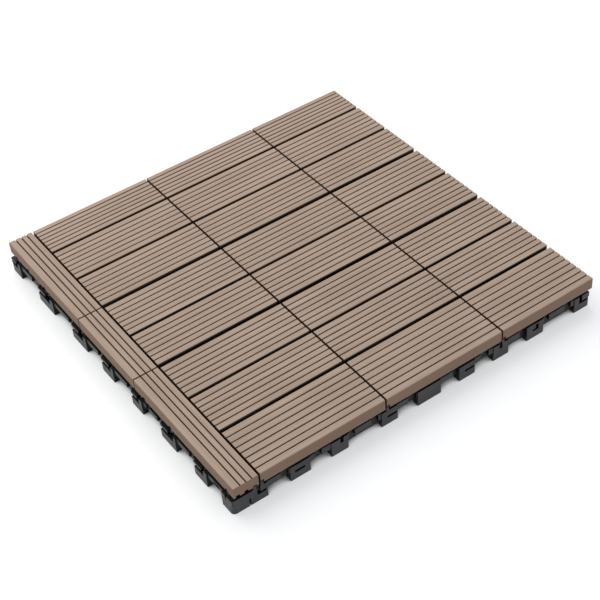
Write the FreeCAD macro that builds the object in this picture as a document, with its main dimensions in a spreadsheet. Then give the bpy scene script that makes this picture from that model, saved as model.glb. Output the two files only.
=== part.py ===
import FreeCAD, Part
import math
import os

import Sketcher

# Interlocking deck tile: grooved composite slats screwed from below to a moulded base grid.
# X runs along the front edge, Y from front to back, Z up from the floor.
# The origin is on the floor under the middle of the slat field.

doc = FreeCAD.newDocument("DeckTile")
sheet = doc.addObject("Spreadsheet::Sheet", "Sizes")


class Size:
    # A length in millimetres together with the sheet formula that it comes from.

    def __init__(self, formula, number):
        self.formula = formula
        self.number = number

    def __add__(self, other):
        return combined(self, "+", other, lambda a, b: a + b)

    def __sub__(self, other):
        return combined(self, "-", other, lambda a, b: a - b)

    def __mul__(self, other):
        return combined(self, "*", other, lambda a, b: a * b)

    def __truediv__(self, other):
        return combined(self, "/", other, lambda a, b: a / b)

    def __neg__(self):
        return Size(f"(0 - {self.formula})", -self.number)


def sized(value):
    return value if isinstance(value, Size) else Size(str(value), value)


def combined(left, sign, right, rule):
    right = sized(right)
    return Size(f"({left.formula} {sign} {right.formula})", rule(left.number, right.number))


def setting(alias, number):
    row = len(settings) + 1
    sheet.set(f"A{row}", alias)
    sheet.set(f"B{row}", str(number))
    sheet.setAlias(f"B{row}", alias)
    settings.append(alias)
    return Size(f"Sizes.{alias}", number)


def bind(item, prop, value):
    item.setExpression(prop, sized(value).formula)


settings = []

# Driving sizes of the whole tile
tile_side = setting("tile_side", 300)
tile_gap = setting("tile_gap", 2)
slat_thick = setting("slat_thick", 9)
base_tall = setting("base_tall", 16)

# Slat field and border
border_width = setting("border_width", 18.8)
border_gap = setting("border_gap", 1.5)
border_joint = setting("border_joint", 1.2)
slat_length = setting("slat_length", 97.4)
seam_gap = setting("seam_gap", 1.6)
front_slat_width = setting("front_slat_width", 43)
slat_width = setting("slat_width", 34.5)
front_gap = setting("front_gap", 2.9)
narrow_gap = setting("narrow_gap", 2.5)
wide_gap = setting("wide_gap", 3.5)

# Section of a slat
groove_width = setting("groove_width", 0.8)
groove_deep = setting("groove_deep", 1.2)
rib_round = setting("rib_round", 0.5)
front_arris = setting("front_arris", 0.9)
front_grooves = setting("front_grooves", 7)
slat_grooves = setting("slat_grooves", 6)
border_grooves = setting("border_grooves", 3)
border_outer_rib = setting("border_outer_rib", 5.6)
relief_count = setting("relief_count", 3)
relief_width = setting("relief_width", 3)
relief_deep = setting("relief_deep", 1.6)

# Screws and their bosses
screw_inset = setting("screw_inset", 14)
shank_round = setting("shank_round", 1.6)
screw_long = setting("screw_long", 12.5)
point_long = setting("point_long", 2.5)
head_round = setting("head_round", 3.4)
head_face_round = setting("head_face_round", 2.8)
head_tall = setting("head_tall", 2.2)
recess_long = setting("recess_long", 3.8)
recess_wide = setting("recess_wide", 0.9)
recess_deep = setting("recess_deep", 1.3)
thread_clear = setting("thread_clear", 0.05)
pilot_spare = setting("pilot_spare", 0.6)
boss_round = setting("boss_round", 4.2)
boss_clear = setting("boss_clear", 0.3)
head_clear = setting("head_clear", 2)

# Base grid
rib_low = setting("rib_low", 7.5)
rib_thick = setting("rib_thick", 2)
cell_limit = setting("cell_limit", 27)
rim_setback = setting("rim_setback", 5.5)
wall = setting("wall", 1.6)
foot_top = setting("foot_top", 12.4)
rail_low = setting("rail_low", 7.4)
left_rail_low = setting("left_rail_low", 8.4)
rail_top = setting("rail_top", 12.4)
screen_step = setting("screen_step", 3)
screen_low = setting("screen_low", 4.9)
front_inset = setting("front_inset", 1)
left_overhang = setting("left_overhang", 1.5)
right_inset = setting("right_inset", 1)
back_inset = setting("back_inset", 1)
front_rail_step = setting("front_rail_step", 0.6)
left_rail_step = setting("left_rail_step", 1.2)
pad_side = setting("pad_side", 8)
middle_pad_side = setting("middle_pad_side", 16)
corner_post = setting("corner_post", 13)
corner_round = setting("corner_round", 3)
far_corner_round = setting("far_corner_round", 2)
lip_low = setting("lip_low", 2.8)
port_at = setting("port_at", 17)
port_long = setting("port_long", 7.4)
port_low = setting("port_low", 9.2)
port_tall = setting("port_tall", 2.2)
corner_slot_at = setting("corner_slot_at", 7.4)
corner_slot_wide = setting("corner_slot_wide", 1.6)
corner_slot_low = setting("corner_slot_low", 9.5)
post_split_wide = setting("post_split_wide", 1.2)
post_split_tall = setting("post_split_tall", 6.8)

# Sockets in the front and left feet, and the tongues that fit those of the next tile
slit_wide = setting("slit_wide", 2.6)
wide_slit = setting("wide_slit", 7)
slit_low = setting("slit_low", 8.2)
leg_low = setting("leg_low", 5.9)
leg_high = setting("leg_high", 7.8)
left_leg_low = setting("left_leg_low", 7.2)
left_leg_high = setting("left_leg_high", 10.4)
window_long = setting("window_long", 7.8)
hook_long = setting("hook_long", 5.3)
hook_top = setting("hook_top", 11)
leg_stop = setting("leg_stop", 1)
tongue_clear = setting("tongue_clear", 0.3)
tongue_past = setting("tongue_past", 1)

# Locating lugs under the slats
lug_round = setting("lug_round", 1.7)
lug_deep = setting("lug_deep", 1.8)
lug_clear = setting("lug_clear", 0.3)
lug_inset = setting("lug_inset", 0.7)
seam_lug = setting("seam_lug", 2.2)

left = -tile_side / 2
right = tile_side / 2
front = -tile_side / 2
back = tile_side / 2
slat_low = base_tall


def box(name, x, y, z):
    solid = doc.addObject("Part::Box", name)
    for side, (low, high) in zip(("Length", "Width", "Height"), (x, y, z)):
        bind(solid, side, sized(high) - low)
    for axis, (low, high) in zip("xyz", (x, y, z)):
        bind(solid, f"Placement.Base.{axis}", low)
    return solid


def upright(name, x, y, z, radius):
    solid = doc.addObject("Part::Cylinder", name)
    bind(solid, "Radius", radius)
    bind(solid, "Height", sized(z[1]) - z[0])
    for axis, low in zip("xyz", (x, y, z[0])):
        bind(solid, f"Placement.Base.{axis}", low)
    return solid


def joined(kind, name, pieces):
    result = doc.addObject(kind, name)
    if kind == "Part::Compound":
        result.Links = pieces
    else:
        result.Shapes = pieces
    return result


def difference(name, base, tool):
    result = doc.addObject("Part::Cut", name)
    result.Base = base
    result.Tool = tool
    return result


def smaller(one, other):
    return Size(f"min({one.formula}; {other.formula})", min(one.number, other.number))


def inset(face, sense, near, far):
    # The extent from near to far, measured from a face into the tile, whichever way that points.
    if sense > 0:
        return (face + near, face + far)
    return (face - far, face - near)


def spread(first, last, limit):
    # Evenly spaced places from first to last, no further apart than the limit.
    count = max(1, math.ceil((last - first).number / limit.number))
    return [first + (last - first) * step / count for step in range(count + 1)]


# Slats and border slats: blanks with their long side along their own X axis

def outline(body, name, points, rounds=()):
    # A closed outline across the board: each point is its place across the width and its height.
    # A side whose number is in rounds is a quarter arc, given by its radius and its centre.
    sketch = body.newObject("Sketcher::SketchObject", name)
    plane = next(item for item in body.Origin.OriginFeatures if item.Role == "YZ_Plane")
    sketch.AttachmentSupport = [(plane, "")]
    sketch.MapMode = "FlatFace"
    rounds = dict(rounds)
    points = [(sized(across), sized(height)) for across, height in points]
    ends = []
    for side, (start, end) in enumerate(zip(points, points[1:] + points[:1])):
        first, last = [FreeCAD.Vector(across.number, height.number) for across, height in (start, end)]
        if side in rounds:
            radius, middle = rounds[side]
            centre = FreeCAD.Vector(*[sized(value).number for value in middle])
            angles = [math.atan2(spot.y - centre.y, spot.x - centre.x) for spot in (first, last)]
            forward = (angles[1] - angles[0]) % (2 * math.pi) < math.pi
            circle = Part.Circle(centre, FreeCAD.Vector(0, 0, 1), radius.number)
            sketch.addGeometry(Part.ArcOfCircle(circle, *(angles if forward else angles[::-1])))
            fix(sketch, "Radius", (side,), radius)
            ends.append((1, 2) if forward else (2, 1))
        else:
            sketch.addGeometry(Part.LineSegment(first, last))
            ends.append((1, 2))
    for side, (across, height) in enumerate(points):
        before = side - 1 if side else len(points) - 1
        sketch.addConstraint(Sketcher.Constraint("Coincident", before, ends[before][1], side, ends[side][0]))
        fix(sketch, "DistanceX", (-1, 1, side, ends[side][0]), across)
        fix(sketch, "DistanceY", (-1, 1, side, ends[side][0]), height)
    return sketch


def fix(sketch, kind, where, size):
    index = sketch.addConstraint(Sketcher.Constraint(kind, *where, size.number))
    bind(sketch, f"Constraints[{index}]", size)


def rectangle(body, name, across, height):
    return outline(body, name, [(across[0], height[0]), (across[1], height[0]), (across[1], height[1]),
                                (across[0], height[1])])


def groove_row(body, name, sketch, pitch, count):
    # One groove right through the board, repeated across its width.
    groove = body.newObject("PartDesign::Pocket", name)
    groove.Profile = sketch
    groove.Type = "ThroughAll"
    groove.Reversed = True
    row = body.newObject("PartDesign::LinearPattern", f"{name}_row")
    row.Originals = [groove]
    row.Direction = (next(item for item in body.Origin.OriginFeatures if item.Role == "Y_Axis"), [""])
    bind(row, "Length", pitch * (sized(count) - 1))
    bind(row, "Occurrences", count)
    body.Tip = row


def board(name, length, width, grooves, far_rib, near_arris):
    # The far rib is the last one across the width; the others share what it leaves.
    body = doc.addObject("PartDesign::Body", name)
    edge = smaller(rib_round, groove_deep)
    section = outline(body, f"{name}_section", [
        (0, 0), (width, 0), (width, slat_thick - edge), (width - edge, slat_thick),
        (near_arris, slat_thick), (0, slat_thick - near_arris),
    ], {2: (edge, (width - edge, slat_thick - edge)), 4: (near_arris, (near_arris, slat_thick - near_arris))})
    stock = body.newObject("PartDesign::Pad", f"{name}_stock")
    stock.Profile = section
    bind(stock, "Length", length)

    pitch = (width - far_rib) / grooves
    low, high = pitch - groove_width / 2, pitch + groove_width / 2
    shoulder = slat_thick - edge
    mouth = outline(body, f"{name}_mouth", [
        (low - edge, slat_thick), (low, shoulder), (low, slat_thick - groove_deep),
        (high, slat_thick - groove_deep), (high, shoulder), (high + edge, slat_thick),
    ], {0: (edge, (low - edge, shoulder)), 4: (edge, (high + edge, shoulder))})
    groove_row(body, f"{name}_groove", mouth, pitch, grooves)

    share = width / relief_count
    middle = share / 2
    relief = rectangle(body, f"{name}_hollow", (middle - relief_width / 2, middle + relief_width / 2),
                       (0, relief_deep))
    groove_row(body, f"{name}_relief", relief, share, relief_count)
    return body


def cutters(name, holes, notches=()):
    # The screw holes and notches that a board gets from below, each given by its place on the board.
    tools = []
    for number, (along, across) in enumerate(holes, 1):
        tools.append(upright(f"{name}_pilot_{number}", along, across, (0, pilot_deep), pilot_round))
    for number, (along, across) in enumerate(notches, 1):
        tools.append(box(f"{name}_notch_{number}", along, across, (0, seam_lug + lug_clear)))
    return tools


def drilled(name, blank, tools):
    return difference(f"drilled_{name}", blank, joined("Part::Compound", f"{name}_tools", tools))


def lay(label, drilled_board, x, y, turn=0):
    # A copy of a drilled board lies on the base with its low corner at x, y, turned about that corner.
    piece = joined("Part::Compound", label, [drilled_board])
    piece.Label = label
    piece.Placement = FreeCAD.Placement(FreeCAD.Vector(), FreeCAD.Rotation(turn, 0, 0))
    for axis, place in zip("xyz", (x, y, slat_low)):
        bind(piece, f"Placement.Base.{axis}", place)
    nodes.append(piece)


nodes = []
pilot_round = shank_round + thread_clear
pilot_deep = screw_long - (base_tall - rib_low) + pilot_spare

# Columns from left to right and rows from front to back, each as its low and high edge
field_left = left + border_width + border_gap
middle_left = field_left + slat_length + seam_gap
right_left = middle_left + slat_length + seam_gap
columns = {
    "left": (field_left, field_left + slat_length),
    "middle": (middle_left, middle_left + slat_length),
    "right": (right_left, right),
}
rows = [(front, front + front_slat_width)]
for gap in (front_gap, narrow_gap, wide_gap, narrow_gap, wide_gap, narrow_gap):
    start = rows[-1][1] + gap
    rows.append((start, start + slat_width))
rows.append((rows[-1][1] + narrow_gap, back))
row_kinds = ["front"] + ["inner"] * 6 + ["back"]
kind_grooves = {"front": front_grooves, "inner": slat_grooves, "back": slat_grooves}
kind_arris = {"front": front_arris, "inner": rib_round, "back": rib_round}

boards = {}
for kind, (low, high) in zip(row_kinds, rows):
    width = high - low
    for column, (start, end) in columns.items():
        stock = (kind, "short" if column == "right" else "long")
        if stock in boards:
            continue
        name = f"{stock[1]}_{kind}_slat"
        length = end - start
        ribs = kind_grooves[kind] + 1
        blank = board(name, length, width, kind_grooves[kind], width / ribs, kind_arris[kind])
        holes = [(screw_inset, width / 2), (length - screw_inset, width / 2)]
        corner = [((0, seam_lug + lug_clear), (0, lug_deep + front_inset + lug_clear))]
        boards[stock] = drilled(name, blank, cutters(name, holes, corner if kind == "front" else ()))

for number, (kind, (low, high)) in enumerate(zip(row_kinds, rows)):
    for column, (start, end) in columns.items():
        stock = (kind, "short" if column == "right" else "long")
        lay(f"slat_row_{len(rows) - number}_{column}", boards[stock], start, low)

# Border slats end in the middle of the two wide gaps
joint_places = [(rows[step][1] + rows[step + 1][0]) / 2 for step in (2, 4)]
half_joint = border_joint / 2
border_screw_inset = corner_post + head_round + head_clear
borders = {
    "front": (front, joint_places[0] - half_joint),
    "middle": (joint_places[0] + half_joint, joint_places[1] - half_joint),
    "back": (joint_places[1] + half_joint, back),
}
lug_places = [front + setting(f"left_lug_{number}_at", place)
              for number, place in enumerate((8.2, 74.5, 107, 247, 272, 290), 1)]
for place, (low, high) in borders.items():
    name = f"{place}_border"
    blank = board(name, high - low, border_width, border_grooves, border_outer_rib, rib_round)
    holes = [(border_screw_inset, border_width / 2), (high - low - border_screw_inset, border_width / 2)]
    tools = cutters(name, holes)
    for number, spot in enumerate(lug_places, 1):
        if low.number < spot.number < high.number:
            notch = doc.addObject("Part::Cylinder", f"{name}_lug_notch_{number}")
            notch.Placement = FreeCAD.Placement(FreeCAD.Vector(), FreeCAD.Rotation(0, 0, -90))
            bind(notch, "Radius", lug_round + lug_clear)
            bind(notch, "Height", lug_deep + lug_clear)
            bind(notch, "Placement.Base.x", spot - low)
            bind(notch, "Placement.Base.y", border_width - lug_deep - lug_clear)
            tools.append(notch)
    lay(f"border_slat_{place}", drilled(name, blank, tools), left + border_width, low, turn=90)


# Base grid: ribs, rim, feet, rails, bosses and pads, moulded as one piece

class Side:
    # One side of the base. Its pieces are placed along it from the tile's corner, inward from the
    # face of its feet, and upward from the floor.

    def __init__(self, name, runs, face, inward):
        self.name = name
        self.runs = runs
        self.face = face
        self.inward = inward

    def box(self, name, along, inward, up):
        along = [front + value for value in along]
        across = inset(self.face, self.inward, *inward)
        pair = (along, across) if self.runs == "x" else (across, along)
        return box(f"{self.name}_{name}", *pair, up)


class Foot:
    # A foot block on one side: its extent along the side, and the shape and place of its socket.

    def __init__(self, side, number, start, width, socket, slot):
        self.name = f"foot_{number}"
        self.start = setting(f"{side}_foot_{number}_at", start)
        self.end = self.start + setting(f"{side}_foot_{number}_wide", width)
        self.socket = socket
        if socket != "plain":
            self.slot = self.start + setting(f"{side}_foot_{number}_slot_in", slot)

    def openings(self, leg, stop):
        # Pairs of extents along the side and upward that the socket is cut to. Its leg lies at the
        # given height and ends short of the foot's end by the stop.
        if self.socket == "plain":
            return []
        upright_end = self.slot + (wide_slit if self.socket == "wide hook" else slit_wide)
        if self.socket == "window":
            return [((self.slot, self.slot + window_long), leg)]
        if self.socket == "slit":
            return [((self.slot, upright_end), (slit_low, rail_top))]
        if self.socket == "turned hook":
            hook_end = self.slot + hook_long
            return [((self.slot, hook_end), leg), ((hook_end - slit_wide, hook_end), (leg[0], hook_top))]
        return [((self.slot, upright_end), (leg[0], rail_top)), ((self.slot, self.end - stop), leg)]


front_side = Side("front", "x", front + front_inset, 1)
left_side = Side("left", "y", left - left_overhang, 1)
back_side = Side("back", "x", back - back_inset, -1)
right_side = Side("right", "y", right - right_inset, -1)

front_feet = [Foot("front", number, *sizes) for number, sizes in enumerate((
    (12.2, 12.9, "hook", 5),
    (42.6, 15.4, "window", 3.5),
    (74.8, 13.2, "slit", 7),
    (115.4, 13.1, "window", 4.6),
    (145.4, 19.6, "plain", 0),
    (181, 13.4, "window", 4.8),
    (211, 13.3, "slit", 5.2),
    (241.2, 14.9, "turned hook", 5.3),
    (285.3, 13, "hook", 4.4),
), 1)]
left_feet = [Foot("left", number, *sizes) for number, sizes in enumerate((
    (30.3, 14.8, "hook", 3.6),
    (67.5, 18.3, "wide hook", 2.4),
    (109.8, 13.6, "hook", 3.6),
    (148, 15.9, "hook", 3.2),
    (185.8, 20.4, "wide hook", 3.6),
    (234.4, 22.4, "wide hook", 4.4),
    (285.3, 13.2, "hook", 3.6),
), 1)]


def spans(name, sizes, first, last):
    # What is left of a side between its recesses, each given by its place and width.
    edges = [sized(first)]
    for number, (place, width) in enumerate(sizes, 1):
        start = setting(f"{name}_recess_{number}_at", place)
        edges += [start, start + setting(f"{name}_recess_{number}_wide", width)]
    edges.append(last)
    return list(zip(edges[::2], edges[1::2]))


front_rails = spans("front", ((35.6, 6.2), (62.1, 5.4), (89.5, 4.5), (107.3, 5.8), (137.6, 7.2), (175.5, 5.2),
                              (200.1, 7), (234.8, 6.1), (257.5, 4.3), (276, 6.1)),
                    -left_overhang, tile_side - right_inset)
left_rails = spans("left", ((47.9, 4.3), (86.8, 4.7), (101.8, 4.2), (125.2, 5.6), (165, 5), (207.4, 5),
                            (257.8, 10.6)),
                   front_inset, tile_side - back_inset)

moulding = []
hollows = []


def add_feet(side, feet):
    for foot in feet:
        moulding.append(side.box(foot.name, (foot.start, foot.end), (0, rim_setback), (0, foot_top)))
        hollows.append(side.box(f"{foot.name}_hollow", (foot.start + wall, foot.end - wall),
                                (wall, rim_setback), (0, foot_top - wall)))


def add_sockets(side, feet, leg, stop):
    for foot in feet:
        for number, (along, up) in enumerate(foot.openings(leg, stop), 1):
            hollows.append(side.box(f"{foot.name}_socket_{number}", along, (0, socket_deep), up))


def add_tongues(side, feet, leg, stop, reach):
    # Tongues have the section of the next tile's sockets, less the clearance all round.
    for foot in feet:
        for number, (along, up) in enumerate(foot.openings(leg, stop), 1):
            along, up = [(low + tongue_clear, high - tongue_clear) for low, high in (along, up)]
            moulding.append(side.box(f"{foot.name}_tongue_{number}", along, (-reach, wall), up))


def add_rails(side, rails, step, low):
    for number, (start, end) in enumerate(rails, 1):
        name = f"rail_{number}"
        up = (low, rail_top)
        moulding.append(side.box(name, (start, end), (step, step + wall), up))
        moulding.append(side.box(f"{name}_near_web", (start, start + wall), (step, rim_setback), up))
        moulding.append(side.box(f"{name}_far_web", (end - wall, end), (step, rim_setback), up))


socket_deep = wall + tongue_past + tongue_clear * 2
add_feet(front_side, front_feet)
add_feet(left_side, left_feet)
add_feet(back_side, front_feet)
add_feet(right_side, left_feet)
back_rails = [(-left_overhang, tile_side - right_inset)]
right_rails = [(front_inset, tile_side - back_inset)]
add_rails(front_side, front_rails, front_rail_step, rail_low)
add_rails(left_side, left_rails, left_rail_step, left_rail_low)
add_rails(back_side, back_rails, sized(0), rail_low)
add_rails(right_side, right_rails, sized(0), left_rail_low)
front_leg = (leg_low, leg_high)
left_leg = (left_leg_low, left_leg_high)
add_sockets(front_side, front_feet, front_leg, leg_stop)
add_sockets(left_side, left_feet, left_leg, sized(0))
back_reach = back_inset + tile_gap + front_inset + wall + tongue_past
right_reach = right_inset + tile_gap - left_overhang + wall + tongue_past
add_tongues(back_side, front_feet, front_leg, leg_stop, back_reach)
add_tongues(right_side, left_feet, left_leg, sized(0), right_reach)

# A screen closes the recesses behind the front and left rails, and hangs lower in three places
screen = (screen_step, screen_step + wall)
moulding.append(front_side.box("screen", back_rails[0], screen, (screen_low, rail_top)))
moulding.append(left_side.box("screen", right_rails[0], screen, (screen_low, rail_top)))
for number, (place, length) in enumerate(((87, 29), (225, 17), (255, 31)), 1):
    start = setting(f"lip_{number}_at", place)
    end = start + setting(f"lip_{number}_long", length)
    moulding.append(front_side.box(f"lip_{number}", (start, end), screen, (lip_low, rail_low)))

# The grid is a plate with its cells cut out. A cell is where a slot between two cross ribs meets a
# slot between two long ribs, inside the rim behind the feet.
rib_up = (rib_low, base_tall)
rim_x = (left_side.face + rim_setback, right_side.face - rim_setback)
rim_y = (front_side.face + rim_setback, back_side.face - rim_setback)
inner_x = (rim_x[0] + rib_thick, rim_x[1] - rib_thick)
inner_y = (rim_y[0] + rib_thick, rim_y[1] - rib_thick)
cross_places = [left + border_width / 2]
for start, end in columns.values():
    cross_places += spread(start + screw_inset, end - screw_inset, cell_limit)
long_places = []
for low, high in rows:
    quarter = (high - low) / 4
    long_places += [low + quarter, high - quarter]


def between_ribs(places, inner):
    # The slots that the ribs at these places leave; a rib that meets the rim leaves none beside it.
    edges = [inner[0]]
    for place in places:
        edges += [place - rib_thick / 2, place + rib_thick / 2]
    edges.append(inner[1])
    return [(low, high) for low, high in zip(edges[::2], edges[1::2]) if (high - low).number > 0]


plate = box("plate", rim_x, rim_y, rib_up)
cross_slots = [box(f"cross_slot_{number}", slot, inner_y, rib_up)
               for number, slot in enumerate(between_ribs(cross_places, inner_x), 1)]
long_slots = [box(f"long_slot_{number}", inner_x, slot, rib_up)
              for number, slot in enumerate(between_ribs(long_places, inner_y), 1)]

# A boss under each screw
screw_places = []
for low, high in rows:
    for start, end in columns.values():
        screw_places += [(start + screw_inset, (low + high) / 2), (end - screw_inset, (low + high) / 2)]
for low, high in borders.values():
    middle = cross_places[0]
    screw_places += [(middle, low + border_screw_inset), (middle, high - border_screw_inset)]
for number, (x, y) in enumerate(screw_places, 1):
    moulding.append(upright(f"boss_{number}", x, y, rib_up, boss_round))
    hollows.append(upright(f"boss_hole_{number}", x, y, rib_up, shank_round + boss_clear))

# Pads on the floor under every other crossing of the ribs, and one in the middle
half_pad = pad_side / 2
pad_up = (0, rib_low)
for row_number, y in enumerate(long_places[2::4], 1):
    for number, x in enumerate(cross_places[1::2], 1):
        moulding.append(box(f"pad_{row_number}_{number}", (x - half_pad, x + half_pad),
                            (y - half_pad, y + half_pad), pad_up))
half_middle = middle_pad_side / 2
moulding.append(box("middle_pad", (-half_middle, half_middle), (-half_middle, half_middle), pad_up))

# Hollow posts at the four corners, rounded outside
def add_post(name, x_side, y_side, x_reach, y_reach, radius):
    def across(near, far):
        return inset(x_side.face, x_side.inward, near, far)

    def along(near, far):
        return inset(y_side.face, y_side.inward, near, far)

    up = (0, rail_top)
    moulding.append(box(f"{name}_flank", across(radius, x_reach), along(0, y_reach), up))
    moulding.append(box(f"{name}_body", across(0, x_reach), along(radius, y_reach), up))
    moulding.append(upright(f"{name}_round", across(radius, radius)[0], along(radius, radius)[0], up, radius))
    hollows.append(box(f"{name}_hollow", across(wall, x_reach - wall), along(wall, y_reach - wall),
                       (0, rail_top - wall)))


add_post("front_left_post", left_side, front_side, corner_post + left_overhang, corner_post - front_inset,
         corner_round)
add_post("front_right_post", right_side, front_side, corner_post, corner_post - front_inset, far_corner_round)
back_post = (rows[-1][1] - rows[-1][0]) / 2 - head_round - head_clear - back_inset
add_post("back_left_post", left_side, back_side, corner_post + left_overhang, back_post, far_corner_round)
add_post("back_right_post", right_side, back_side, corner_post, back_post, far_corner_round)

# Lugs that locate the slats: half-round ones along the left edge, square ones at the front seams
lug_low = rail_top - wall


def crosswise(name, x, y, z, radius, length):
    # A cylinder along X whose axis starts at x, y, z.
    solid = doc.addObject("Part::Cylinder", name)
    solid.Placement = FreeCAD.Placement(FreeCAD.Vector(), FreeCAD.Rotation(0, 90, 0))
    bind(solid, "Radius", radius)
    bind(solid, "Height", length)
    for axis, place in zip("xyz", (x, y, z)):
        bind(solid, f"Placement.Base.{axis}", place)
    return solid


lug_face = left + lug_inset
for number, place in enumerate(lug_places, 1):
    moulding.append(box(f"left_lug_{number}", (lug_face, rim_x[0]), (place - lug_round, place + lug_round),
                        (lug_low, base_tall)))
    moulding.append(crosswise(f"left_lug_{number}_top", lug_face, place, base_tall, lug_round,
                              lug_deep - lug_inset))
lug_depth = (front_side.face, front_side.face + lug_deep)
for column, (start, end) in columns.items():
    moulding.append(box(f"{column}_seam_lug", (start, start + seam_lug), lug_depth,
                        (lug_low, base_tall + seam_lug)))
end_lug_middle = left + border_width - border_width / relief_count / 2
end_lug_half = relief_width / 2 - lug_clear
end_lug = (end_lug_middle - end_lug_half, end_lug_middle + end_lug_half)
moulding.append(box("border_end_lug", end_lug, lug_depth, (lug_low, base_tall + relief_deep - lug_clear)))

# A drain port in the left rail, a slot in the front left post and the split beside its first foot
port_round = port_tall / 2
port_ends = (port_at + port_round, port_at + port_long - port_round)
hollows.append(left_side.box("port", port_ends, (0, rim_setback), (port_low, port_low + port_tall)))
for number, place in enumerate(port_ends, 1):
    hollows.append(crosswise(f"port_end_{number}", left_side.face, front + place, port_low + port_round,
                             port_round, rim_setback))
hollows.append(left_side.box("corner_slot", (corner_slot_at, corner_slot_at + corner_slot_wide), (0, wall),
                             (corner_slot_low, rail_top)))
hollows.append(front_side.box("post_split", (front_feet[0].start - post_split_wide, front_feet[0].start),
                              (0, wall), (0, post_split_tall)))

# The base is the lattice and the pieces moulded on it, less the hollows
doc.recompute()


def shapes(items):
    return [item.Shape.copy() for item in items]


cells = Part.Compound(shapes(cross_slots)).common(Part.Compound(shapes(long_slots)))
lattice = plate.Shape.copy().cut(cells)
base_grid = doc.addObject("Part::Feature", "base_grid")
base_grid.Shape = lattice.fuse(shapes(moulding)).cut(Part.Compound(shapes(hollows))).removeSplitter()
base_grid.Label = "base_grid"
nodes.append(base_grid)

# One screw, head down with its seat at its own origin, and its copies under every slat
def tapered(name, z, low_round, high_round):
    solid = doc.addObject("Part::Cone", name)
    bind(solid, "Radius1", low_round)
    bind(solid, "Radius2", high_round)
    bind(solid, "Height", z[1] - z[0])
    bind(solid, "Placement.Base.z", z[0])
    return solid


shank_end = screw_long - point_long
screw_solid = joined("Part::MultiFuse", "screw_solid", [
    tapered("screw_head", (-head_tall, sized(0)), head_face_round, head_round),
    upright("screw_shank", 0, 0, (0, shank_end), shank_round),
    tapered("screw_point", (shank_end, screw_long), shank_round, 0),
])
arm, half_slot = recess_long / 2, recess_wide / 2
recess_up = (-head_tall, recess_deep - head_tall)
screw_recess = joined("Part::MultiFuse", "screw_recess", [
    box("screw_slot_1", (-arm, arm), (-half_slot, half_slot), recess_up),
    box("screw_slot_2", (-half_slot, half_slot), (-arm, arm), recess_up),
])
screw = difference("screw", screw_solid, screw_recess)
doc.recompute()

base_screws = doc.addObject("Part::Feature", "base_screws")
seats = [FreeCAD.Vector(x.number, y.number, rib_low.number) for x, y in screw_places]
base_screws.Shape = Part.Compound([screw.Shape.translated(seat) for seat in seats])
base_screws.Label = "base_screws"
nodes.append(base_screws)
doc.recompute()

for item in doc.Objects:
    if "Invalid" in item.State or "Error" in item.State:
        raise RuntimeError(f"{item.Label} did not build: {item.State}")
for node in nodes:
    if node.Shape.isNull() or not node.Shape.isValid():
        raise RuntimeError(f"{node.Label} has no valid shape")

os.makedirs("parts", exist_ok=True)
for node in nodes:
    node.Shape.exportStep(f"parts/{node.Label}.step")
    print(f"{node.Label}: {len(node.Shape.Solids)} solids, {node.Shape.Volume / 1000:.2f} cm3")
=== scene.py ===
import math

import bpy
from mathutils import Euler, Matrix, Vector


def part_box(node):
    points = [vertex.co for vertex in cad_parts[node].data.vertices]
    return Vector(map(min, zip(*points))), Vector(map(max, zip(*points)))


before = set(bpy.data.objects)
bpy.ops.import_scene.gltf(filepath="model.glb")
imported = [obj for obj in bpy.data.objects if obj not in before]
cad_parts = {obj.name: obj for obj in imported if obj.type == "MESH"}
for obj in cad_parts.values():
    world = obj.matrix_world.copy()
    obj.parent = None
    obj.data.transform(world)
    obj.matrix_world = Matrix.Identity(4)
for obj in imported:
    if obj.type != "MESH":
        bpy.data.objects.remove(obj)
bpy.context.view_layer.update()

print("model loaded:", len(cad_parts), "nodes")


# Shader maths

class Wire:
    # An output socket in a node tree. Ordinary operators on it add Math nodes.

    def __init__(self, tree, socket):
        self.tree = tree
        self.socket = socket

    def node(self, kind, inputs, output=0, **settings):
        return addNode(self.tree, kind, inputs, **settings)[output]

    def math(self, operation, other):
        return self.node("ShaderNodeMath", {0: self, 1: other}, operation=operation)

    def __add__(self, other):
        return self.math("ADD", other)

    def __sub__(self, other):
        return self.math("SUBTRACT", other)

    def __rsub__(self, other):
        return self.node("ShaderNodeMath", {0: other, 1: self}, operation="SUBTRACT")

    def __mul__(self, other):
        return self.math("MULTIPLY", other)

    def __gt__(self, other):
        return self.math("GREATER_THAN", other)

    def __lt__(self, other):
        return self.math("LESS_THAN", other)

    __radd__ = __add__
    __rmul__ = __mul__

    def ramp(self, start, end):
        # Rises smoothly from 0 at start to 1 at end, and falls where end is the lower one.
        inputs = {"Value": self, "From Min": start, "From Max": end}
        return self.node("ShaderNodeMapRange", inputs, interpolation_type="SMOOTHSTEP", clamp=True)

    def choose(self, first, second):
        # The first colour where this is 0 and the second where it is 1.
        inputs = {0: self, 6: first, 7: second}
        return self.node("ShaderNodeMix", inputs, output=2, data_type="RGBA")

    def joined(self, across, height):
        return self.node("ShaderNodeCombineXYZ", {0: self, 1: across, 2: height})

    def noise(self, scale, detail=2.0, roughness=0.5):
        inputs = {"Vector": self, "Scale": scale, "Detail": detail, "Roughness": roughness}
        return self.node("ShaderNodeTexNoise", inputs)


def addNode(tree, kind, inputs=None, **settings):
    # Adds one node, its settings first and then the values or links of its sockets.
    made = tree.nodes.new(kind)
    for name, value in settings.items():
        setattr(made, name, value)
    for name, value in (inputs or {}).items():
        connect(tree, value, made.inputs[name])
    return [Wire(tree, socket) for socket in made.outputs]


def pick(wires, name):
    # The output that has this name.
    return next(wire for wire in wires if wire.socket.name == name)


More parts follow.
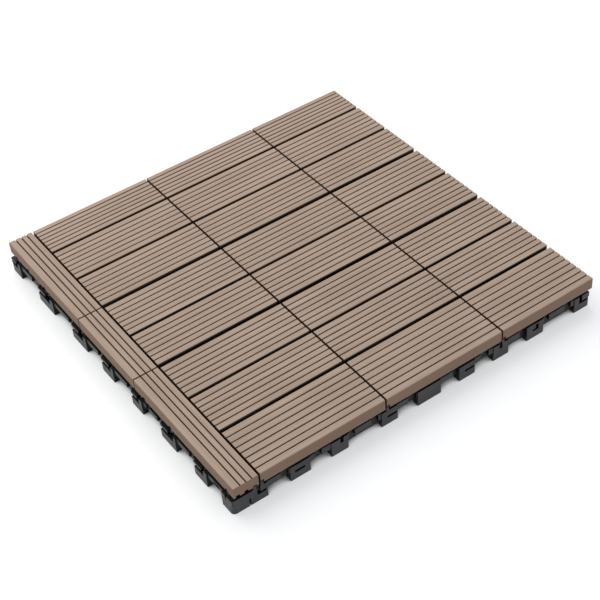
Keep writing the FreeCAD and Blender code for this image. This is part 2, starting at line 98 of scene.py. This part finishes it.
def connect(tree, value, socket):
    if isinstance(value, Wire):
        tree.links.new(value.socket, socket)
    elif isinstance(value, (tuple, list)) and len(value) == 3 and len(socket.default_value) == 4:
        socket.default_value = (*value, 1.0)
    else:
        socket.default_value = value


class Surface:
    # A material with one Principled shader, and the wires that its patterns start from.

    def __init__(self, name):
        self.material = bpy.data.materials.new(name)
        self.material.use_nodes = True
        self.tree = self.material.node_tree
        self.shader = self.tree.nodes["Principled BSDF"]
        self.place = pick(addNode(self.tree, "ShaderNodeTexCoord"), "Object")
        self.x, self.y, self.z = addNode(self.tree, "ShaderNodeSeparateXYZ", {0: self.place})
        normal = pick(addNode(self.tree, "ShaderNodeNewGeometry"), "Normal")
        parts = addNode(self.tree, "ShaderNodeSeparateXYZ", {0: normal})
        self.rightward, self.backward, self.upward = parts

    def finish(self, **sockets):
        for name, value in sockets.items():
            connect(self.tree, value, self.shader.inputs[name.replace("_", " ")])
        return self.material

    def bump(self, height, distance):
        return height.node("ShaderNodeBump",
                           {"Height": height, "Distance": distance, "Strength": 1.0})


noiseMiddle = 0.5  # the mean of a noise pattern
halfTurned = 0.5  # a face looks along an axis when its normal has more than this along it


# Composite slats: brushed along their length, sawn sides darker, partly their own colour and partly
# painted shade, and painted shade in the grooves and gaps

slatLook = {
    "light": (0.425, 0.321, 0.253),
    "dark": (0.300, 0.217, 0.166),
    # The side colour is the sawn sides' own darker colour, with painted shade on the sides as well.
    "side": (0.258, 0.167, 0.118),
    # The next two colours are painted shade: dark on groove walls and near black on gap walls,
    # deepening below the top.
    "groove": (0.062, 0.036, 0.025),
    "gap": (0.006, 0.004, 0.003),
    "grooveStart": 0.0001,  # depths below the top, in metres
    "grooveEnd": 0.0008,
    "gapStart": 0.0009,
    "gapEnd": 0.0016,
    "edgeBand": 0.0006,  # the outer sides, which keep their colour
    "streakAcross": 900.0,
    "streakAlong": 16.0,
    "streakRange": (0.3, 0.72),  # noise values that give the dark and the light colour
    "streakShare": 0.5,
    "bandAcross": 0.22,  # shares of the streak's scales
    "bandAlong": 0.25,
    "bandRange": (0.3, 0.7),
    "bandShare": 0.25,
    "mottleScale": 26.0,
    "mottleRange": (0.3, 0.7),
    "mottleShare": 0.25,
    "grainScale": 1500.0,
    "wearRange": (0.28, 0.42),
    "wear": 0.3,
    "topRange": (0.25, 0.85),  # upward parts of the normal between a side and a top
    "sidePattern": 0.55,
    "roughness": 0.72,
    "roughnessSpread": 0.16,
    "shine": 0.2,
    "bump": 0.00012,
    "bumpStreak": 0.6,  # shares of the bump's height
    "bumpGrain": 0.4,
    "tones": (0.0, 0.35, 0.7, 1.0),  # one material each, from the plain colour to the darkest
    "toneDepth": 0.1,
    "toneShift": 3.7,  # metres along the pattern, so that no two tones show the same streaks
}
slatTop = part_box("slat_row_8_left")[1][2]
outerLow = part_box("border_slat_front")[0]
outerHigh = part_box("slat_row_1_right")[1]


def insideField(face):
    # 1 on the walls of gaps and grooves, which get painted shade, and 0 on outer sides and
    # undersides.
    band = slatLook["edgeBand"]
    inside = (face.x > outerLow[0] + band) * (face.x < outerHigh[0] - band)
    inside = inside * (face.y > outerLow[1] + band) * (face.y < outerHigh[1] - band)
    return inside * (face.upward > -halfTurned)


def stretched(face, along, across, alongScale, acrossScale):
    # A place to sample, drawn out along the slat where the first scale is the smaller one.
    return (along * alongScale).joined(across * acrossScale, face.z * acrossScale)


def slatMaterial(name, alongX, tone):
    look = slatLook
    face = Surface(name)
    along, across = (face.x, face.y) if alongX else (face.y, face.x)
    along = along + tone * look["toneShift"]
    streak = stretched(face, along, across, look["streakAlong"], look["streakAcross"])
    streak = streak.noise(1.0, detail=4.0, roughness=0.6)
    band = stretched(face, along, across, look["streakAlong"] * look["bandAlong"],
                     look["streakAcross"] * look["bandAcross"]).noise(1.0)
    grain = face.place.noise(look["grainScale"], detail=3.0, roughness=0.65)
    mottle = stretched(face, along, across, 1.0, 1.0).noise(look["mottleScale"], detail=3.0)

    pattern = (streak.ramp(*look["streakRange"]) * look["streakShare"]
               + band.ramp(*look["bandRange"]) * look["bandShare"]
               + mottle.ramp(*look["mottleRange"]) * look["mottleShare"])
    top = pattern.choose(look["dark"], look["light"])
    worn = (1.0 - grain.ramp(*look["wearRange"])) * look["wear"]
    top = worn.choose(top, look["dark"])
    side = (pattern * look["sidePattern"]).choose(look["side"], look["dark"])
    # Sides darker than tops: partly their sawn colour, partly painted shade.
    colour = face.upward.ramp(*look["topRange"]).choose(side, top)
    depth = slatTop - face.z
    inside = insideField(face)
    # Painted shade on the walls of grooves and gaps, deepening with depth below the top; outer
    # sides and undersides get none.
    grooveShade = depth.ramp(look["grooveStart"], look["grooveEnd"]) * inside
    gapShade = depth.ramp(look["gapStart"], look["gapEnd"]) * inside
    colour = gapShade.choose(grooveShade.choose(colour, look["groove"]), look["gap"])
    colour = (mottle * (tone * look["toneDepth"])).choose(colour, look["dark"])

    return face.finish(
        Base_Color=colour,
        Roughness=look["roughness"] + (streak - noiseMiddle) * look["roughnessSpread"],
        Specular_IOR_Level=look["shine"],
        Normal=face.bump(streak * look["bumpStreak"] + grain * look["bumpGrain"], look["bump"]),
    )


def dress(name, material):
    # A carried-over node keeps its mesh and takes one material in all its slots.
    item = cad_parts[name]
    if not item.material_slots:
        item.data.materials.append(material)
    for part in item.material_slots:
        part.material = material


tones = list(enumerate(slatLook["tones"]))
fieldSlats = [slatMaterial(f"fieldSlat{number}", True, tone) for number, tone in tones]
borderSlats = [slatMaterial(f"borderSlat{number}", False, tone) for number, tone in tones]
slatRows = 8
rowStep, columnStep = 5, 3  # steps through the tones that keep neighbours apart
for row in range(1, slatRows + 1):
    for column, side in enumerate(("left", "middle", "right")):
        shade = (row * rowStep + column * columnStep) % len(tones)
        dress(f"slat_row_{row}_{side}", fieldSlats[shade])
for number, place in enumerate(("front", "middle", "back")):
    dress(f"border_slat_{place}", borderSlats[(number * columnStep) % len(tones)])
print("slats dressed")


# Base grid: charcoal plastic with a fine moulded texture, and painted shade in its recesses, on its
# upward faces and just under the slats

baseLook = {
    "dark": (0.040, 0.0405, 0.0415),
    "light": (0.065, 0.066, 0.068),
    "scuff": (0.120, 0.121, 0.124),
    # The next colour is painted shade: near black on faces set back behind the feet, on upward
    # faces and just under the slats.
    "recessShade": (0.004, 0.004, 0.0045),
    "feetStep": 0.001,  # from the outer sides of the slats back to the feet
    "recessStart": 0.0020,  # depths behind the feet's outer faces
    "recessEnd": 0.0034,
    "shadowStart": 0.00120,  # drops below the undersides of the slats
    "shadowEnd": 0.00048,
    "cloudScale": 60.0,
    "cloudRange": (0.3, 0.7),  # noise values that give the dark and the light colour
    "grainScale": 2600.0,
    "scuffRange": (0.62, 0.8),
    "scuffing": 0.4,
    "roughness": 0.46,
    "cloudRoughness": 0.2,
    "grainRoughness": 0.1,
    "shine": 0.22,
    "bump": 0.00006,
    "bumpGrain": 0.7,  # shares of the bump's height
    "bumpCloud": 0.3,
}
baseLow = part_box("base_grid")[0]
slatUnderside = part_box("slat_row_8_left")[0][2]


def recessDepth(face):
    # How far a face lies behind the outer faces of the side that it looks towards, which sets the
    # painted shade in the recesses.
    step = baseLook["feetStep"]
    fromLeft = face.x - baseLow[0]
    fromRight = (outerHigh[0] - step) - face.x
    fromFront = face.y - (outerLow[1] + step)
    fromBack = (outerHigh[1] - step) - face.y
    across = (face.rightward < -halfTurned) * fromLeft + (face.rightward > halfTurned) * fromRight
    along = (face.backward < -halfTurned) * fromFront + (face.backward > halfTurned) * fromBack
    return across + along


def baseMaterial():
    look = baseLook
    face = Surface("mouldedBase")
    grain = face.place.noise(look["grainScale"])
    cloud = face.place.noise(look["cloudScale"], detail=4.0, roughness=0.6)
    colour = cloud.ramp(*look["cloudRange"]).choose(look["dark"], look["light"])
    scuffed = grain.ramp(*look["scuffRange"]) * look["scuffing"]
    colour = scuffed.choose(colour, look["scuff"])
    # Painted shade: faces set back behind the feet, upward faces and a band just under the slats
    # (painted shadow) all turn near black.
    recessShade = recessDepth(face).ramp(look["recessStart"], look["recessEnd"])
    shadow = face.z.ramp(slatUnderside - look["shadowStart"], slatUnderside - look["shadowEnd"])
    recessShade = recessShade.math("MAXIMUM", shadow).math("MAXIMUM", face.upward > halfTurned)
    roughness = look["roughness"] + (cloud - noiseMiddle) * look["cloudRoughness"]
    return face.finish(
        Base_Color=recessShade.choose(colour, look["recessShade"]),
        Roughness=roughness + (grain - noiseMiddle) * look["grainRoughness"],
        Specular_IOR_Level=look["shine"],
        Normal=face.bump(grain * look["bumpGrain"] + cloud * look["bumpCloud"], look["bump"]),
    )


dress("base_grid", baseMaterial())


# Screws: dull zinc

screwLook = {
    "dark": (0.34, 0.33, 0.31),
    "light": (0.62, 0.60, 0.56),
    "turnAcross": 300.0,
    "turnHeight": 4000.0,  # so that the marks run round the screw
    "turnShare": 0.5,
    "patchScale": 700.0,
    "patchShare": 0.5,
    "markRange": (0.3, 0.7),
    "roughness": 0.38,
    "roughnessSpread": 0.3,
    "bump": 0.00003,
}


def screwMaterial():
    look = screwLook
    face = Surface("zincScrew")
    across = look["turnAcross"]
    turn = (face.x * across).joined(face.y * across, face.z * look["turnHeight"]).noise(1.0)
    patch = face.place.noise(look["patchScale"], detail=3.0)
    mark = (turn * look["turnShare"] + patch * look["patchShare"]).ramp(*look["markRange"])
    return face.finish(
        Base_Color=mark.choose(look["dark"], look["light"]),
        Roughness=look["roughness"] + (patch - noiseMiddle) * look["roughnessSpread"],
        Metallic=1.0,
        Normal=face.bump(turn, look["bump"]),
    )


dress("base_screws", screwMaterial())
print("base and screws dressed")


# Floor, light and world

stageLook = {
    "floorSize": 8.0,
    "floorSeen": (0.60, 0.60, 0.60),
    "floorLift": (0.42, 0.42, 0.42),  # its own light, which keeps the shadow pale
    "floorBounce": (0.44, 0.43, 0.42),
    "floorRoughness": 0.9,
    "floorShine": 0.1,
    "hollowReach": 0.03,  # the floor inside the feet, which has no light of its own
    "hollowRange": (0.26, 0.50),
    "worldSeen": (1.0, 1.0, 1.0),
    "worldLight": (0.93, 0.965, 1.0),
    "worldStrength": 0.69,
}


def seenDirectly(tree):
    # 1 for what the camera, a glossy surface or a clear one shows, and 0 for what only gives light.
    path = addNode(tree, "ShaderNodeLightPath")
    seen = pick(path, "Is Camera Ray").math("MAXIMUM", pick(path, "Is Glossy Ray"))
    return seen.math("MAXIMUM", pick(path, "Is Transmission Ray"))


def makeFloor():
    look = stageLook
    half = look["floorSize"] / 2
    mesh = bpy.data.meshes.new("studioFloor")
    corners = [(-half, -half, 0), (half, -half, 0), (half, half, 0), (-half, half, 0)]
    mesh.from_pydata(corners, [], [(0, 1, 2, 3)])
    floor = bpy.data.objects.new("studioFloor", mesh)
    bpy.context.scene.collection.objects.link(floor)
    face = Surface("floorPaper")
    seen = seenDirectly(face.tree)
    around = addNode(face.tree, "ShaderNodeAmbientOcclusion", {"Distance": look["hollowReach"]})
    lit = seen * pick(around, "AO").ramp(*look["hollowRange"])
    mesh.materials.append(face.finish(
        Base_Color=seen.choose(look["floorBounce"], look["floorSeen"]),
        Roughness=look["floorRoughness"],
        Specular_IOR_Level=look["floorShine"],
        Emission_Color=lit.choose((0.0, 0.0, 0.0), look["floorLift"]),
        Emission_Strength=1.0,
    ))


def makeWorld():
    look = stageLook
    world = bpy.data.worlds.new("studio")
    world.use_nodes = True
    bpy.context.scene.world = world
    tree = world.node_tree
    shader = tree.nodes["Background"]
    light = tuple(value * look["worldStrength"] for value in look["worldLight"])
    connect(tree, seenDirectly(tree).choose(light, look["worldSeen"]), shader.inputs["Color"])
    connect(tree, 1.0, shader.inputs["Strength"])


softboxes = {
    "overheadSoftbox": {"place": (-0.12, 0.78, 0.9), "aim": (-0.02, 0.12, 0.0),
                        "size": 1.6, "power": 13.5, "colour": (1.0, 0.985, 0.96)},
    "frontFill": {"place": (0.1, -1.9, 0.8), "aim": (0.0, 0.0, 0.0),
                  "size": 1.4, "power": 4.0, "colour": (1.0, 0.99, 0.98)},
}


def makeSoftbox(name, look):
    light = bpy.data.lights.new(name, "AREA")
    light.shape = "SQUARE"
    light.size = look["size"]
    light.energy = look["power"]
    light.color = look["colour"]
    item = bpy.data.objects.new(name, light)
    item.location = look["place"]
    direction = Vector(look["aim"]) - Vector(look["place"])
    item.rotation_euler = direction.to_track_quat("-Z", "Y").to_euler()
    bpy.context.scene.collection.objects.link(item)


makeFloor()
makeWorld()
for name, look in softboxes.items():
    makeSoftbox(name, look)
bpy.context.scene.view_settings.view_transform = "Standard"
print("studio made")


# Camera: azimuth runs from +Y towards +X, elevation is above the floor, roll is about the view

cameraLook = {
    "place": (-0.40277, -0.64636, 0.68961),
    "azimuth": 32.23,
    "elevation": 42.76,
    "roll": -5.0,
    "lens": 84.76,
    "sensor": 36.0,
    "clipStart": 0.01,
}


def makeCamera():
    look = cameraLook
    data = bpy.data.cameras.new("photoCamera")
    data.lens = look["lens"]
    data.sensor_width = look["sensor"]
    data.clip_start = look["clipStart"]
    camera = bpy.data.objects.new("photoCamera", data)
    turn = Euler((0, 0, -math.radians(look["azimuth"]))).to_matrix()
    tilt = Euler((math.radians(90 - look["elevation"]), 0, 0)).to_matrix()
    roll = Euler((0, 0, math.radians(look["roll"]))).to_matrix()
    camera.matrix_world = (turn @ tilt @ roll).to_4x4()
    camera.location = look["place"]
    bpy.context.scene.collection.objects.link(camera)
    bpy.context.scene.camera = camera


makeCamera()
print("camera placed")
